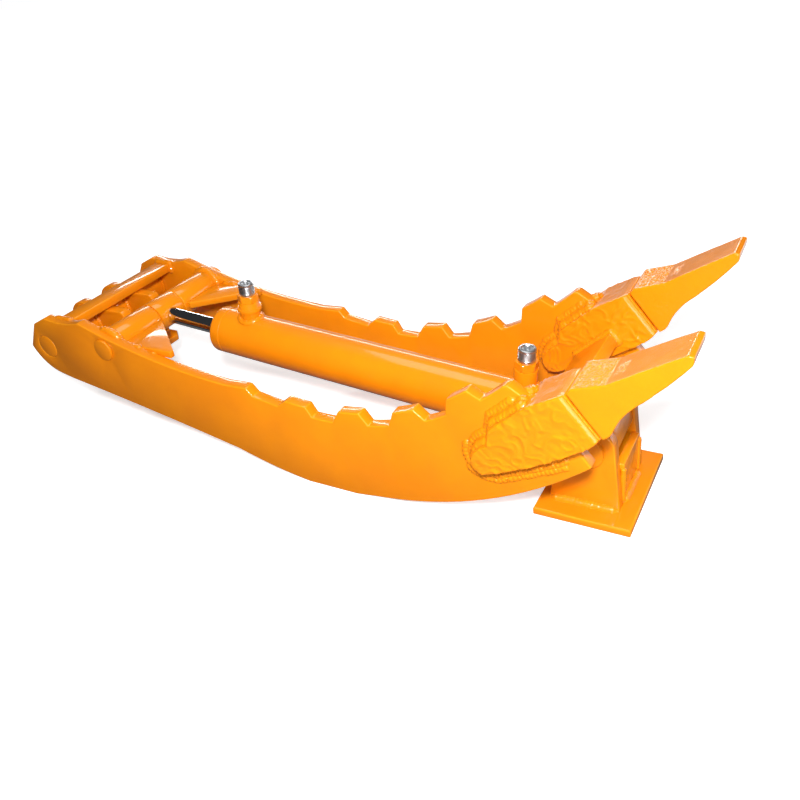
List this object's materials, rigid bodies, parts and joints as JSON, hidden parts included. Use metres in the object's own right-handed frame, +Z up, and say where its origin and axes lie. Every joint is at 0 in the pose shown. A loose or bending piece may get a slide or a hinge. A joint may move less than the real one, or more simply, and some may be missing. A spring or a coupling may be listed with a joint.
{
  "type": "excavator thumb",
  "caption": "Hydraulic excavator thumb: toothed twin side plates with bucket teeth, weld-on hinge mount, and a cylinder standing on a weld-on foot bracket.",
  "frame": {"origin": "middle of the hinge plate's weld-on face", "axes": "+X from the hinge towards the tooth tips, +Z up as it lies, Y across the side plates"},
  "size_m": [1.1971, 0.352, 0.3471],
  "materials": {
    "orange_paint": "gloss",
    "painted_weld": "gloss",
    "painted_casting": "gloss",
    "hard_chrome": "mirror",
    "zinc_plate": "satin",
    "pin_steel": "turned",
    "bronze": "turned",
    "piston_iron": "turned",
    "seal_rubber": "matte"
  },
  "bodies": {
    "thumb_frame": {"side_plate_right": "orange_paint", "side_plate_left": "orange_paint", "nose_cross_bar": "orange_paint", "front_cross_plate": "orange_paint", "main_pivot_pin": "orange_paint", "rod_pin": "orange_paint", "rod_pin_end_washer": "orange_paint", "rod_pin_end_bolt": "zinc_plate", "rod_pin_boss_right": "orange_paint", "rod_pin_boss_left": "orange_paint", "boss_gusset_right": "orange_paint", "boss_gusset_left": "orange_paint", "tooth_adapter_right": "painted_casting", "tooth_adapter_left": "painted_casting", "bucket_tooth_right": "painted_casting", "bucket_tooth_left": "painted_casting", "tooth_lock_pins": "pin_steel", "adapter_weld_right": "painted_weld", "adapter_weld_left": "painted_weld", "boss_welds": "painted_weld", "gusset_welds": "painted_weld", "nose_bar_welds": "painted_weld", "cross_plate_welds": "painted_weld"},
    "hinge_mount": {"hinge_ear_right": "orange_paint", "hinge_ear_left": "orange_paint", "hinge_base_plate": "orange_paint", "hinge_tube": "orange_paint", "hinge_bushes": "bronze", "hinge_washers": "pin_steel", "hinge_grease_nipple": "zinc_plate", "hinge_ear_welds": "painted_weld"},
    "cylinder_rod": {"rod_eye": "orange_paint", "rod_eye_bush": "bronze", "rod_eye_grease_nipple": "zinc_plate", "piston_rod": "hard_chrome", "piston": "piston_iron", "piston_seal": "seal_rubber", "piston_nut": "pin_steel"},
    "cylinder_barrel": {"barrel_tube": "orange_paint", "cylinder_gland": "orange_paint", "rod_wiper": "seal_rubber", "rod_seal": "seal_rubber", "gland_bush": "bronze", "barrel_end_cap": "orange_paint", "barrel_eye": "orange_paint", "barrel_eye_bush": "bronze", "barrel_eye_grease_nipple": "zinc_plate", "port_boss_head": "orange_paint", "port_fitting_head": "zinc_plate", "port_boss_base": "orange_paint", "port_fitting_base": "zinc_plate", "port_welds": "painted_weld"},
    "foot_bracket": {"foot_base_plate": "orange_paint", "foot_ear_right": "orange_paint", "foot_ear_left": "orange_paint", "foot_web": "orange_paint", "foot_pin": "pin_steel", "foot_pin_keeper": "orange_paint", "foot_keeper_bolt": "zinc_plate", "foot_bracket_welds": "painted_weld"}
  },
  "joints": [
    {"name": "hinge_swing", "type": "hinge", "parent": "thumb_frame", "child": "hinge_mount", "pos_m": [-0.035, 0, 0.08], "axis": [0, 1, 0], "range_deg": [0, 110]},
    {"name": "rod_swing", "type": "hinge", "parent": "thumb_frame", "child": "cylinder_rod", "pos_m": [0.1252, 0, 0.0991], "axis": [0, 1, 0], "range_deg": [0, 115.5]},
    {"name": "barrel_slide", "type": "slide", "parent": "cylinder_rod", "child": "cylinder_barrel", "axis": [0.9959, 0, -0.0906], "range_m": [0, 0.249]},
    {"name": "foot_swing", "type": "hinge", "parent": "cylinder_barrel", "child": "foot_bracket", "pos_m": [0.965, 0, 0.0227], "axis": [0, 1, 0], "range_deg": [-5.5, 0]}
  ],
  "couplings": [
    {"joint": "rod_swing", "follows": "hinge_swing", "ratio": 1.0494},
    {"joint": "barrel_slide", "follows": "hinge_swing", "m_per_rad": 0.12928},
    {"joint": "foot_swing", "follows": "hinge_swing", "ratio": -0.0494}
  ]
}
